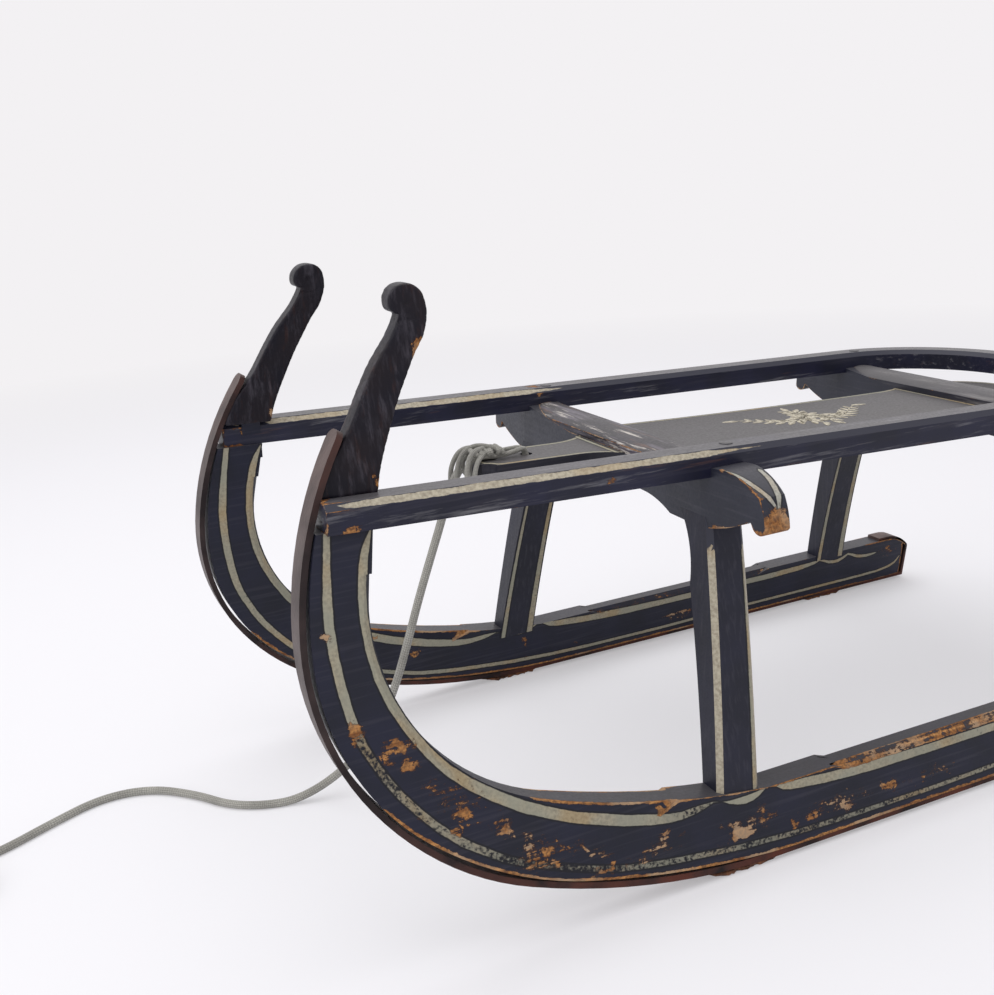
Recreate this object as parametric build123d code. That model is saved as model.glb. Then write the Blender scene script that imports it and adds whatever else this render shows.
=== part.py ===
from build123d import *
import math
import os

# A child's push and pull sled: painted wood on iron-shod runners
# Millimetres, +X forward, +Y the sled's left, +Z up
# While the pieces are shaped, x = 0 is where the iron shoe starts to rise and z = 0 is its underside
# The last lines move all pieces, so that the origin lies on the floor under the middle of the sled

# Side frames: both lean inwards
track_half = 181.5
frame_lean = 11.34
runner_thick = 20.0
lean_cos = math.cos(math.radians(frame_lean))
lean_tan = math.tan(math.radians(frame_lean))

# Iron shoe: a strap under the runner and up its front, sprung a little off the wood
shoe_thick = 4.0
shoe_wide = 17.0
shoe_radii = (496.0, 189.9, 160.6, 245.5)
shoe_turns = (21.2, 35.8, 38.6)
shoe_top_z = 320.0
shoe_wrap_thick = 3.0
shoe_wrap_long = 37.0

# Runner: one board sawn to the bend, deeper in the bend than along the floor
runner_bend_start = -30.0
runner_radii = (667.0, 239.0, 153.0, 242.5)
runner_turns = (14.8, 27.0, 49.7, 29.0)
runner_top_z = 47.5
throat_slope = 4.8
throat_radii = (630.0, 137.0, 92.0)
throat_turns = (15.1, 67.5, 13.6)
throat_rise = 60.0
runner_heel = -427.0
heel_round = 16.0

# Stopped bevels along the runner's upper arrises
bevel = 4.5
bevel_stop = 7.0
bevel_run = 26.0
bevel_heel_stop = 62.0

# Seat rail: one bentwood bow that runs back from the stems and round behind the seat
rail_slope = 2.46
rail_z = 254.2
rail_wide = 24.0
rail_high = 17.5
rail_outset = 3.6
rail_bevel = 3.7
rail_corner = 118.5
rail_front = 271.0
rail_rear = -435.5

# Stem tenon: through the rail's end and up into the horn
tenon_at = 249.0
tenon_deep = 14.0
tenon_wide = 8.0
tenon_reach = 24.0

# Horn: carved hand grip on the rail's front end, rolled over at its tip
horn_thick = 15.0
horn_inset = 2.5
horn_high = 112.0
curl_radius = 11.5
curl_eye = 2.2
curl_eye_deep = 1.5

# Bolsters: cross pieces on the legs, arched below, with scrolled ends outside the rails
bolster_thick = 27.0
bolster_front = 17.5
bolster_rear = -310.0
bolster_out = 65.6
bolster_high = 33.0
scroll_nip = 3.0
seat_drop = 5.0

# Legs: splayed boards that flare inwards under the bolster and taper upwards
leg_thick = 19.0
leg_foot_deep = 32.5
leg_top_deep = 27.5
leg_foot_front = 41.5
leg_foot_rear = -309.5
leg_tenon = 5.0
leg_bevel = 3.5
leg_flare = 33.0

# Seat plank: waisted board with a tongue in front, which carries the cord
seat_thick = 10.0
seat_long = 516.0
seat_half = 60.0
tongue_tip = 120.0
tongue_half = 22.0
cord_hole_back = 41.0
cord_hole = 9.0

# Crossbars: crowned battens over the plank at each bolster
bar_wide = 33.0
bar_crown = 5.5
bar_crown_radius = 30.0
bar_end_up = 4.5
bar_inset = 12.0

# Sole pads: worn remains of plates nailed under the runners below each leg
pad_long = 60.0
pad_thick = 3.0
pad_toe = 14.0

# Tow cord: its knot on the tongue, its coil and the knot at its free end
cord_thick = 6.2
tongue_knot = 12.0
coil_at = (525.0, -58.0)
coil_middle_radius = 34.0
end_knot = 6.5

# How far cutting blocks reach past what they cut
overrun = 400.0


def up_frame(height):
    """A height as a length up the leaning board."""
    return height / lean_cos


def frame_middle_y(height):
    return track_half - height * lean_tan


rail_half = frame_middle_y(rail_z + rail_high / 2) + rail_outset


def rail_under(x):
    return rail_z + x * math.tan(math.radians(rail_slope))


def shared(start, size, shares):
    """Points at shares of a size from a start."""
    return [(start[0] + a * size[0], start[1] + b * size[1]) for a, b in shares]


def arc_chain(start, slope, radii, turns):
    """Arcs that follow each other smoothly, all turning left."""
    arcs = []
    point = Vector(*start)
    way = Vector(math.cos(math.radians(slope)), math.sin(math.radians(slope)))
    for radius, turn in zip(radii, turns):
        arc = JernArc(point, way, radius, turn)
        arcs.append(arc)
        point = arc @ 1
        way = arc % 1
    return arcs


def turn_to_height(start, slope, radii, turns, height):
    """The last arc's turn that brings a chain of arcs up to a height."""
    arcs = arc_chain(start, slope, radii, turns)
    so_far = math.radians(slope + sum(turns))
    missing = height - (arcs[-1] @ 1).Y
    end_cos = math.cos(so_far) - missing / radii[-1]
    return math.degrees(math.acos(end_cos) - so_far)


# The left side frame's own plane, x forward and y up the leaning board
frame_plane = Plane(origin=(0, track_half, 0), x_dir=(1, 0, 0), z_dir=(0, -1, -lean_tan))


def board(outline, thick, inwards=0):
    """A board of the left side frame: its outline carried level across the frame."""
    face = frame_plane * outline
    both_ways = extrude(face, amount=thick / 2, dir=(0, 1, 0), both=True)
    return Pos(0, -inwards, 0) * both_ways


def above_rail_under(lift):
    """A large block whose underside is the plane of the rails' underside, raised by lift."""
    block = Box(overrun * 4, overrun * 2, overrun, align=(Align.CENTER, Align.CENTER, Align.MIN))
    return Pos(0, 0, rail_z) * Rot(0, -rail_slope, 0) * Pos(0, 0, lift) * block


def cross_piece(outline, front_x, thick):
    """An outline in the cross plane, carried backwards from its front."""
    face = Plane(origin=(front_x, 0, 0), x_dir=(0, 1, 0), z_dir=(1, 0, 0)) * outline
    return extrude(face, amount=thick, dir=(-1, 0, 0))


def whole_outline(half_edges, about):
    """A closed face from one half's edges, which start and end on the mirror plane."""
    half = [edge for curve in half_edges for edge in curve.edges()]
    other = [edge.mirror(about) for edge in half]
    return Face(Wire([*half, *other]))


# Iron shoe, left: the strap's two long faces are arcs about the same centres
last_turn = turn_to_height((0, 0), 0, shoe_radii, shoe_turns, up_frame(shoe_top_z))
all_turns = shoe_turns + (last_turn,)
shoe_outer = arc_chain((0, 0), 0, shoe_radii, all_turns)
inner_radii = [radius - shoe_thick for radius in shoe_radii]
shoe_inner = arc_chain((0, shoe_thick), 0, inner_radii, all_turns)


# The round of the strap's tip, as a share of its width
tip_round_share = 0.42


def make_strap():
    sole = Line((runner_heel, 0), (0, 0))
    tip = Line(shoe_outer[-1] @ 1, shoe_inner[-1] @ 1)
    bed = Line((0, shoe_thick), (runner_heel, shoe_thick))
    heel = Line((runner_heel, shoe_thick), (runner_heel, 0))
    strap = board(Face(Wire([sole, *shoe_outer, tip, *shoe_inner, bed, heel])), shoe_wide)
    tip_edges = strap.edges().filter_by(lambda e: (e @ 0.5).Z > shoe_top_z - shoe_thick)
    corners = tip_edges.filter_by(lambda e: abs((e % 0.5).Y) < abs(lean_tan) and e.length < shoe_thick * 2)
    return fillet(corners, shoe_wide * tip_round_share)


def make_heel_cap(runner):
    """The strap's end, which wraps up the heel and hooks over its top."""
    cap_long = shoe_wrap_long + shoe_wrap_thick
    cap_high = up_frame(runner_top_z) + shoe_wrap_thick
    cap = Rectangle(cap_long, cap_high, align=(Align.MIN, Align.MIN))
    corner = cap.vertices().group_by(Axis.X)[0].sort_by(Axis.Y)[-1]
    cap = fillet(corner, heel_round + shoe_wrap_thick)
    return board(Pos(runner_heel - shoe_wrap_thick, 0) * cap, shoe_wide) - runner


def behind_shoe():
    """All the room between the shoe's inner face and the heel."""
    top = shoe_inner[-1] @ 1
    closing = [
        Line((runner_heel, shoe_thick), (0, shoe_thick)),
        *shoe_inner,
        Line(top, top + Vector(0, overrun)),
    ]
    far = closing[-1] @ 1
    closing.append(Line(far, (runner_heel, far.Y)))
    closing.append(Line((runner_heel, far.Y), (runner_heel, shoe_thick)))
    return board(Face(Wire(closing)), overrun)


# Runner with its stem, left
def make_runner():
    deck_z = up_frame(runner_top_z)
    outer = arc_chain((runner_bend_start, shoe_thick), 0, runner_radii, runner_turns)
    throat = arc_chain((0, deck_z), throat_slope, throat_radii, throat_turns)
    throat_top = throat[-1] @ 1 + (throat[-1] % 1) * throat_rise
    stem_inner = Line(throat[-1] @ 1, throat_top)
    stem_end = Line(outer[-1] @ 1, throat_top)
    deck = Line((runner_heel + heel_round, deck_z), (0, deck_z))
    heel_top = (runner_heel, deck_z - heel_round)
    heel_arc = JernArc(heel_top, (0, 1), heel_round, -90)
    heel = Line((runner_heel, shoe_thick), heel_top)
    sole = Line((runner_heel, shoe_thick), (runner_bend_start, shoe_thick))
    outline = Face(Wire([sole, *outer, stem_end, stem_inner, *throat, deck, heel_arc, heel]))
    plain = board(outline, runner_thick)
    on_top = [frame_plane.from_local_coords(curve @ 0.5) for curve in (deck, *throat, stem_inner)]
    arrises = [
        edge
        for edge in plain.edges()
        if any((edge @ 0.5 - middle - Vector(0, way * runner_thick / 2, 0)).length < shoe_thick / 2
               for middle in on_top for way in (-1, 1))
    ]
    bevelled = chamfer(arrises, bevel)
    return plain, bevelled


def stop_block(front_x, rear_x):
    """Where the bevels stop: the block's ends slope down along the arris."""
    low = runner_top_z - bevel * 2
    high = runner_top_z + bevel * 4
    slope = bevel_run * (high - low) / bevel / 2
    outline = Face(Wire(Polyline(
        (front_x + slope, low), (front_x, high), (rear_x, high), (rear_x - slope, low), close=True,
    )))
    face = Plane.XZ * outline
    return extrude(face, amount=overrun, dir=(0, 1, 0))


# Tenon of the stem, which the rail and the horn are cut for
def make_tenon():
    low = up_frame(rail_under(tenon_at) - tenon_reach / 2)
    high = up_frame(rail_under(tenon_at) + rail_high + tenon_reach)
    outline = Pos(tenon_at, (low + high) / 2) * Rectangle(tenon_deep, high - low)
    return board(outline, tenon_wide, horn_inset)


# Horn, left: shares of its height, from the foot's back corner on the rail, back and up the board
horn_front_shares = ((0.35, -0.08), (0.30, 0.05), (0.205, 0.20), (0.112, 0.306), (0.031, 0.431),
                     (-0.032, 0.533), (-0.116, 0.65), (-0.209, 0.758), (-0.255, 0.85))
horn_back_shares = ((-0.424, 0.905), (-0.426, 0.864), (-0.408, 0.79), (-0.377, 0.725), (-0.341, 0.679),
                    (-0.278, 0.581), (-0.199, 0.447), (-0.112, 0.271), (-0.038, 0.101), (-0.012, 0.02),
                    (0.02, -0.08))
curl_share = (-0.321, 0.913)


def make_horn():
    back_x = tenon_at - tenon_deep / 2 - horn_inset * 3
    foot = (back_x, up_frame(rail_under(tenon_at) + rail_high))
    size = (horn_high, up_frame(horn_high))
    front = shared(foot, size, horn_front_shares)
    back = shared(foot, size, horn_back_shares)
    curl_at = shared(foot, size, (curl_share,))[0]
    body = Face(Wire([
        Spline(*front),
        Line(front[-1], curl_at),
        Line(curl_at, back[0]),
        Spline(*back),
        Line(back[-1], front[0]),
    ]))
    outline = body + Pos(*curl_at) * Circle(curl_radius)
    horn = board(outline, horn_thick, horn_inset)
    horn = horn & above_rail_under(rail_high)
    eye = board(Pos(*curl_at) * Circle(curl_eye), horn_thick, horn_inset)
    horn = horn - Pos(0, horn_thick - curl_eye_deep, 0) * eye
    horn = horn - Pos(0, curl_eye_deep - horn_thick, 0) * eye
    return horn & behind_shoe(), curl_at


# Seat rail
def make_rail():
    long = rail_front - rail_rear
    outer = Rectangle(long, rail_half * 2 + rail_wide)
    outer = fillet(outer.vertices().group_by(Axis.X)[0], rail_corner)
    inner = Pos(rail_wide, 0) * Rectangle(long, rail_half * 2 - rail_wide)
    inner = fillet(inner.vertices().group_by(Axis.X)[0], rail_corner - rail_wide)
    bow = extrude(outer - inner, rail_high)
    long_edges = [edge for edge in bow.edges().group_by(Axis.Z)[-1] if edge.center().X < long / 2 - rail_wide / 2]
    bow = chamfer(long_edges, rail_bevel)
    middle = (rail_front + rail_rear) / 2
    return Pos(0, 0, rail_z) * Rot(0, -rail_slope, 0) * Pos(middle, 0, 0) * bow


# Bolster: shares of its half length out from the middle, and of its height down from the rail's underside
# The lip and the scroll's back, its tip, the notch under it, the foot on the leg, then the arch
bolster_end_shares = ((0.797, -0.24), (0.914, -0.094), (0.970, 0.10), (0.990, 0.36), (1.0, 0.71),
                      (0.966, 0.81), (0.938, 0.73), (0.925, 0.594), (0.864, 0.767), (0.654, 1.088),
                      (0.474, 1.073), (0.380, 0.875), (0.289, 0.818), (0.15, 0.76), (0.0, 0.74))
# The level middle of bolsters and crossbars, as a share of the seat's half width
level_share = 0.8


def make_bolster(front_x):
    under = rail_under(front_x - bolster_thick / 2)
    half_long = rail_half + bolster_out
    ends = shared((0, under), (half_long, -bolster_high), bolster_end_shares)
    bed = under - seat_drop
    level = seat_half * level_share
    half = [
        Line((0, bed), (level, bed)),
        Line((level, bed), (rail_half - bar_inset, under + bar_end_up)),
        Line((rail_half - bar_inset, under + bar_end_up), ends[0]),
        ThreePointArc(ends[0], ends[1], ends[2]),
        ThreePointArc(ends[2], ends[3], ends[4]),
        ThreePointArc(ends[4], ends[5], ends[6]),
        Line(ends[6], ends[7]),
        ThreePointArc(ends[7], ends[8], ends[9]),
        Line(ends[9], ends[10]),
        ThreePointArc(ends[10], ends[11], ends[12]),
        ThreePointArc(ends[12], ends[13], ends[14]),
    ]
    piece = cross_piece(whole_outline(half, Plane.YZ), front_x, bolster_thick)
    back_x = front_x - bolster_thick
    plan = Face(Wire(Polyline(
        (front_x, -rail_half), (front_x, rail_half), (front_x - scroll_nip, half_long),
        (back_x + scroll_nip * 2, half_long), (back_x, rail_half), (back_x, -rail_half),
        (back_x + scroll_nip * 2, -half_long), (front_x - scroll_nip, -half_long), close=True,
    )))
    return piece & extrude(plan, amount=overrun)


# Leg, left: its outline in the cross plane, cut to its taper seen from the side
# Shares of the flare, of the leg's thickness and of its height
leg_top_out_share = 0.42
leg_top_in_share = 0.6
leg_outer_bow_share = 0.12
leg_inner_bow_share = 0.105
leg_waist_share = 0.75
leg_waist_high_share = 0.74
leg_inner_mid_share = 0.37
leg_throat_share = 0.32
leg_throat_high_share = 0.9


def make_leg(foot_front, top_front, bolster_under):
    foot_z = runner_top_z - leg_tenon
    top_z = bolster_under + leg_tenon
    foot_y = frame_middle_y(runner_top_z)
    top_y = rail_half - bar_inset / 2
    out_foot = foot_y + leg_thick / 2
    in_foot = foot_y - leg_thick / 2
    high = top_z - foot_z
    outer_y = top_y + leg_flare * leg_top_out_share
    inner_y = top_y - leg_flare * leg_top_in_share
    outer_mid = ((out_foot + outer_y) / 2 + leg_thick * leg_outer_bow_share, (foot_z + top_z) / 2)
    waist = (outer_y - leg_thick * leg_waist_share, foot_z + high * leg_waist_high_share)
    inner_mid_y = (in_foot + waist[0]) / 2 + leg_thick * leg_inner_bow_share
    inner_mid = (inner_mid_y, foot_z + high * leg_inner_mid_share)
    throat_mid = (waist[0] - leg_thick * leg_throat_share, foot_z + high * leg_throat_high_share)
    outline = Face(Wire([
        Line((in_foot, foot_z), (out_foot, foot_z)),
        ThreePointArc((out_foot, foot_z), outer_mid, (outer_y, top_z)),
        Line((outer_y, top_z), (inner_y, top_z)),
        ThreePointArc((inner_y, top_z), throat_mid, waist),
        ThreePointArc(waist, inner_mid, (in_foot, foot_z)),
    ]))
    leg = cross_piece(outline, foot_front + leg_foot_deep, leg_foot_deep * 4)
    side = Face(Wire(Polyline(
        (foot_front, foot_z), (top_front, top_z), (top_front - leg_top_deep, top_z),
        (foot_front - leg_foot_deep, foot_z), close=True,
    )))
    leg = leg & extrude(Plane.XZ * side, amount=overrun, dir=(0, 1, 0))
    outer_edges = [
        edge for edge in leg.edges()
        if abs((edge % 0.5).Z) > 0.8 and (edge @ 0.5).Y > (out_foot + outer_y) / 2
    ]
    return chamfer(outer_edges, leg_bevel)


# Seat plank: shares of its length back from the tongue's tip, and of its half width
seat_side_shares = ((0.14, 0.367), (0.178, 0.45), (0.205, 0.667), (0.233, 0.83), (0.275, 0.883),
                    (0.533, 0.783), (0.795, 0.817), (0.826, 0.883), (0.845, 0.95), (0.901, 1.0),
                    (0.985, 0.667), (1.0, 0.0))
tongue_round_share = 0.38


def make_seat():
    size = (-seat_long, seat_half)
    start = (tongue_tip, 0)
    side = shared(start, size, seat_side_shares)
    tip_round = tongue_half * tongue_round_share
    half = [
        Line((tongue_tip, 0), (tongue_tip, tongue_half - tip_round)),
        RadiusArc((tongue_tip, tongue_half - tip_round), (tongue_tip - tip_round, tongue_half), tip_round),
        Line((tongue_tip - tip_round, tongue_half), side[0]),
        ThreePointArc(side[0], side[1], side[2]),
        ThreePointArc(side[2], side[3], side[4]),
        ThreePointArc(side[4], side[5], side[6]),
        ThreePointArc(side[6], side[7], side[8]),
        Line(side[8], side[9]),
        ThreePointArc(side[9], side[10], side[11]),
    ]
    outline = whole_outline(half, Plane.XZ)
    outline -= Pos(tongue_tip - cord_hole_back, 0) * Circle(cord_hole / 2)
    plank = extrude(outline, amount=seat_thick, dir=(0, 0, -1))
    return Pos(0, 0, rail_z - seat_drop) * Rot(0, -rail_slope, 0) * plank


# Crossbar: a batten between the rails, rounded across its top
def make_crossbar(front_x):
    under = rail_under(front_x - bar_wide / 2)
    middle = seat_half * level_share
    end_y = rail_half - bar_inset
    bed = under - seat_drop
    top = under + bar_crown * 2
    half = [
        Line((0, bed), (middle, bed)),
        Line((middle, bed), (end_y, under + bar_end_up)),
        Line((end_y, under + bar_end_up), (end_y, top)),
        Line((end_y, top), (0, top)),
    ]
    bar = cross_piece(whole_outline(half, Plane.YZ), front_x, bar_wide)
    crown = Rot(90, 0, 0) * Cylinder(bar_crown_radius, overrun)
    return bar & Pos(front_x - bar_wide / 2, 0, under + bar_crown - bar_crown_radius) * crown


parts = {}
runner_plain, runner_bevelled = make_runner()
legs_at = {"front": leg_foot_front, "rear": leg_foot_rear}
stops = [stop_block(x + bevel_stop, x - leg_foot_deep - bevel_stop) for x in legs_at.values()]
stops.append(stop_block(runner_heel + bevel_heel_stop - bevel_run, runner_heel - overrun))
stem_stop = above_rail_under(-bevel_run)
runner_left = runner_bevelled
for stop in (*stops, stem_stop):
    runner_left = runner_left + (runner_plain & stop)
runner_left = runner_left - above_rail_under(0)
strap = make_strap()
shoe_left = strap + make_heel_cap(runner_plain)
tenon_left = make_tenon()
horn_left, curl_at = make_horn()
horn_left = horn_left - tenon_left
rail = make_rail() - shoe_left - mirror(shoe_left, about=Plane.XZ)
rail = rail - tenon_left - mirror(tenon_left, about=Plane.XZ)
runner_left = runner_left + (tenon_left - runner_left)
seat = make_seat()
bolster_fronts = {"front": bolster_front, "rear": bolster_rear}
for end, front_x in bolster_fronts.items():
    bolster = make_bolster(front_x) - rail - seat
    leg = make_leg(legs_at[end], front_x, rail_under(front_x) - bolster_high) - bolster
    leg = (leg - runner_left).solids().sort_by(Axis.Z)[0]
    bar = make_crossbar(front_x) - rail - seat - bolster
    parts["bolster_" + end] = bolster
    parts["crossbar_" + end] = bar
    parts["leg_" + end + "_left"] = leg
    parts["leg_" + end + "_right"] = mirror(leg, about=Plane.XZ)
for name, piece in (("runner", runner_left), ("horn", horn_left), ("iron_shoe", shoe_left)):
    parts[name + "_left"] = piece
    parts[name + "_right"] = mirror(piece, about=Plane.XZ)
parts["seat_rail"] = rail
parts["seat_plank"] = seat

# Sole pads: under each runner below each leg, worn thin at the front
for end, foot_front in legs_at.items():
    outline = Face(Wire(Polyline(
        (0, 0), (0, -pad_thick / 3), (-pad_toe, -pad_thick), (-pad_long, -pad_thick), (-pad_long, 0), close=True,
    )))
    pad = extrude(Plane.XZ * outline, amount=shoe_wide / 2, both=True)
    for side, sign in (("left", 1), ("right", -1)):
        parts["sole_pad_" + end + "_" + side] = Pos(foot_front + pad_toe, sign * track_half, 0) * pad

# Tow cord: from the knot on the tongue down to the floor and forward
floor_lay = cord_thick / 2 - pad_thick
cord_points = [
    (127.0, -8.2, 249.5), (133.0, -12.7, 238.0), (137.5, -14.9, 225.0), (143.5, -17.2, 206.0),
    (152.5, -20.3, 181.0), (163.0, -24.7, 150.0), (173.0, -27.2, 119.5), (185.5, -32.7, 81.0),
    (203.0, -38.2, 46.0), (230.0, -47.7, 17.0), (262.0, -56.2, floor_lay), (289.0, -61.7, floor_lay),
    (313.0, -78.2, floor_lay), (331.0, -106.7, floor_lay), (361.0, -136.2, floor_lay),
    (399.0, -141.7, floor_lay), (438.0, -122.2, floor_lay), (475.0, -100.7, floor_lay),
    (500.0, -95.2, floor_lay), (520.0, coil_at[1] - coil_middle_radius - cord_thick / 2, floor_lay),
]


# How much of the shorter run beside a corner its arc may take up
corner_share = 0.45
# How far the end knot stands inside the coil, as a share of its radius
end_knot_share = 0.8


def corner_radii(points):
    radii = []
    for before, here, after in zip(points, points[1:], points[2:]):
        run_in = Vector(*here) - Vector(*before)
        run_out = Vector(*after) - Vector(*here)
        turn = math.radians(run_in.get_angle(run_out))
        shorter = min(run_in.length, run_out.length)
        radii.append(corner_share * shorter / math.tan(turn / 2))
    return radii


radii = corner_radii(cord_points)
path = FilletPolyline(*[Vector(*p) for p in cord_points], radius=radii)
section = Plane(origin=path @ 0, z_dir=path % 0) * Circle(cord_thick / 2)
cord = sweep(section, path=path)
print("cord radii", [round(r) for r in radii], "length", round(path.length))
print("cord volume against section by length", cord.volume / (math.pi * cord_thick ** 2 / 4 * path.length))



# Knots and coil: plain bodies of flat faces, which the laid cord's own turns follow
knot_sides = 8
coil_sides = 32


def knot_body(radius):
    around = extrude(RegularPolygon(radius, knot_sides, major_radius=False), amount=radius, both=True)
    return around & Rot(90, 0, 0) * around & Rot(0, 90, 0) * around


knot_z = rail_under(tongue_tip) - seat_drop
knot = Pos(tongue_tip, cord_points[0][1] + tongue_knot / 4, knot_z) * knot_body(tongue_knot)
knot = knot - seat
coil_out = coil_middle_radius + cord_thick
coil_in = coil_middle_radius - cord_thick
coil_ring = RegularPolygon(coil_out, coil_sides, major_radius=False)
coil_ring -= RegularPolygon(coil_in, coil_sides, major_radius=False)
coil = extrude(coil_ring, amount=cord_thick * 2)
coil = Pos(*coil_at, -pad_thick) * coil - cord
end_at = coil_at[0] - coil_in + end_knot * end_knot_share
end_piece = Pos(end_at, coil_at[1], end_knot - pad_thick) * knot_body(end_knot) - coil
parts["tow_cord"] = cord - knot
parts["cord_knot"] = knot
parts["cord_coil"] = coil
parts["cord_end_knot"] = end_piece

# Everything moves so that the origin lies on the floor under the middle of the sled
os.makedirs("parts", exist_ok=True)
front_most = shoe_left.bounding_box().max.X
rear_most = rail.bounding_box().min.X
middle_x = (front_most + rear_most) / 2
for name, piece in parts.items():
    solids = [Pos(-middle_x, 0, pad_thick) * solid for solid in piece.solids()]
    export_step(solids[0] if len(solids) == 1 else Compound(children=solids), "parts/" + name + ".step")
    print(name, len(solids), round(sum(s.volume for s in solids)))
print("moved along X by", -middle_x, "rail_half", rail_half)
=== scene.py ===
import math
import bmesh
import bpy
import numpy as np
from mathutils import Matrix, Vector


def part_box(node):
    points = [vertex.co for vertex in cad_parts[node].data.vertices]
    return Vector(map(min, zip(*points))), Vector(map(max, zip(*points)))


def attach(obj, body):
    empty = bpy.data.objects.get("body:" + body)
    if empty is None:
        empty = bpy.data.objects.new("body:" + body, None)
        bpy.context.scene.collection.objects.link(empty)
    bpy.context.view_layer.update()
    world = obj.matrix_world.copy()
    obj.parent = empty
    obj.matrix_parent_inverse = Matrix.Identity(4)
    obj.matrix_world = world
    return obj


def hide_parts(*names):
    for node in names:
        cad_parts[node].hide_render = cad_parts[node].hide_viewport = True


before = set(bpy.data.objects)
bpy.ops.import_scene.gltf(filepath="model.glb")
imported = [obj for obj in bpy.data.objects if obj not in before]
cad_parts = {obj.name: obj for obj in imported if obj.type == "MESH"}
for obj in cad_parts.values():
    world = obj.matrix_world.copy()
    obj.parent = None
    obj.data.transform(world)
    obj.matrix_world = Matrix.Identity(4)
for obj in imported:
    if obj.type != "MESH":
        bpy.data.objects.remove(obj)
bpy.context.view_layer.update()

# Runners: two ash boards sawn to the bend, whose stems carry the rail and the horns
# Navy black oil paint, lined in cream by hand along both edges, with chips from stones and rubbed arrises
# The outline is the CAD board's; its faces are only divided here, so that painted lines can follow it


def linear(code):
    """An sRGB hex colour as linear red, green, blue and alpha."""
    parts = [int(code[i:i + 2], 16) / 255 for i in (1, 3, 5)]
    return tuple(c / 12.92 if c <= 0.04045 else ((c + 0.055) / 1.055) ** 2.4 for c in parts) + (1.0,)


def fill(material, name, inputs):
    """Gives a named node's inputs their values: numbers, hex colours, or sockets to link from."""
    node = material.node_tree.nodes[name]
    for key, value in inputs.items():
        if isinstance(value, bpy.types.NodeSocket):
            material.node_tree.links.new(value, node.inputs[key])
        else:
            node.inputs[key].default_value = linear(value) if isinstance(value, str) else value


def add(material, kind, inputs=None, **settings):
    """Adds a shader node with its settings and links, and gives its outputs."""
    node = material.node_tree.nodes.new("ShaderNode" + kind)
    for key, value in settings.items():
        setattr(node, key, value)
    fill(material, node.name, inputs or {})
    return node.outputs


def start_material(name):
    """A new material, and the Object coordinates that its patterns lie in."""
    material = bpy.data.materials.new(name)
    material.use_nodes = True
    return material, add(material, "TexCoord")["Object"]


def merged_copy(node):
    """A CAD node's loose triangles as whole faces in a new bmesh."""
    shape = bmesh.new()
    shape.from_mesh(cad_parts[node].data)
    bmesh.ops.remove_doubles(shape, verts=shape.verts, dist=1e-5)
    bmesh.ops.dissolve_limit(shape, angle_limit=math.radians(0.05), verts=shape.verts, edges=shape.edges)
    return shape


def slice_across(shape, axis, step):
    """Cuts all faces by planes across an axis, every step metres."""
    normal = Vector((0, 0, 0))
    normal[axis] = 1
    places = [v.co[axis] for v in shape.verts]
    at = math.floor(min(places) / step) * step + step * 0.37
    while at < max(places):
        whole = [*shape.verts, *shape.edges, *shape.faces]
        bmesh.ops.bisect_plane(shape, geom=whole, plane_co=normal * at, plane_no=normal)
        at += step


def is_arris(edge):
    return len(edge.link_faces) == 2 and edge.calc_face_angle(0) > math.radians(24)


def mark_arrises(shape):
    """Keeps each vertex's distance to the nearest arris, in millimetres, for the rubbed edges."""
    shape.edges.ensure_lookup_table()
    on_arris = {v for e in shape.edges if is_arris(e) for v in e.verts}
    crossing = [
        e for e in shape.edges
        if not is_arris(e) and e.verts[0] in on_arris and e.verts[1] in on_arris and e.calc_length() > 0.0008
    ]
    halved = bmesh.ops.subdivide_edges(shape, edges=crossing, cuts=1)
    halfway = [v for v in halved["geom_inner"] if isinstance(v, bmesh.types.BMVert)]
    bmesh.ops.connect_verts(shape, verts=halfway)
    points = np.array([v.co for v in shape.verts])
    nearest = np.full(len(points), 1.0)
    for e in [e for e in shape.edges if is_arris(e)]:
        start, end = (np.array(v.co) for v in e.verts)
        way = end - start
        share = np.clip((points - start) @ way / max(way @ way, 1e-12), 0, 1)
        gap = np.linalg.norm(points - start - share[:, None] * way, axis=1)
        nearest = np.minimum(nearest, gap)
    layer = shape.verts.layers.float.new("arris")
    for v, gap in zip(shape.verts, nearest):
        v[layer] = min(gap * 1000, 40)


def new_layers(shape, *labels):
    """Attributes of one value at each vertex, under the names that the materials read."""
    return [shape.verts.layers.float.new(label) for label in labels]


def line_field(points, rows):
    """For points in mm and a painted line's rows of two places, half width and wear:
    how far across the line each point is, the line's half width there, and its wear."""
    rows = np.array(rows, float)
    nearest = np.full(len(points), 1e9)
    field = np.zeros((len(points), 3))
    last = len(rows) - 2
    for i, (a, b) in enumerate(zip(rows, rows[1:])):
        way = b[:2] - a[:2]
        long = np.linalg.norm(way)
        way = way / long
        along = (points - a[:2]) @ way
        held = np.clip(along, -1e6 if i == 0 else 0, 1e6 if i == last else long)
        from_foot = points - a[:2] - held[:, None] * way
        gap = np.linalg.norm(from_foot, axis=1)
        side = np.sign(way[0] * from_foot[:, 1] - way[1] * from_foot[:, 0])
        beyond = np.maximum(-along if i == 0 else 0, 0) + np.maximum(along - long if i == last else 0, 0)
        share = np.clip(along / long, 0, 1)
        half = a[2] + share * (b[2] - a[2]) - beyond * 0.6
        wear = a[3] + share * (b[3] - a[3])
        take = gap < nearest
        nearest = np.where(take, gap, nearest)
        field[take] = np.stack([gap * side, half, wear], axis=1)[take]
    return field


def put_object(name, data):
    """An object for a mesh, curve, lamp or camera, put in the scene."""
    made = bpy.data.objects.new(name, data)
    bpy.context.scene.collection.objects.link(made)
    return made


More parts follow.
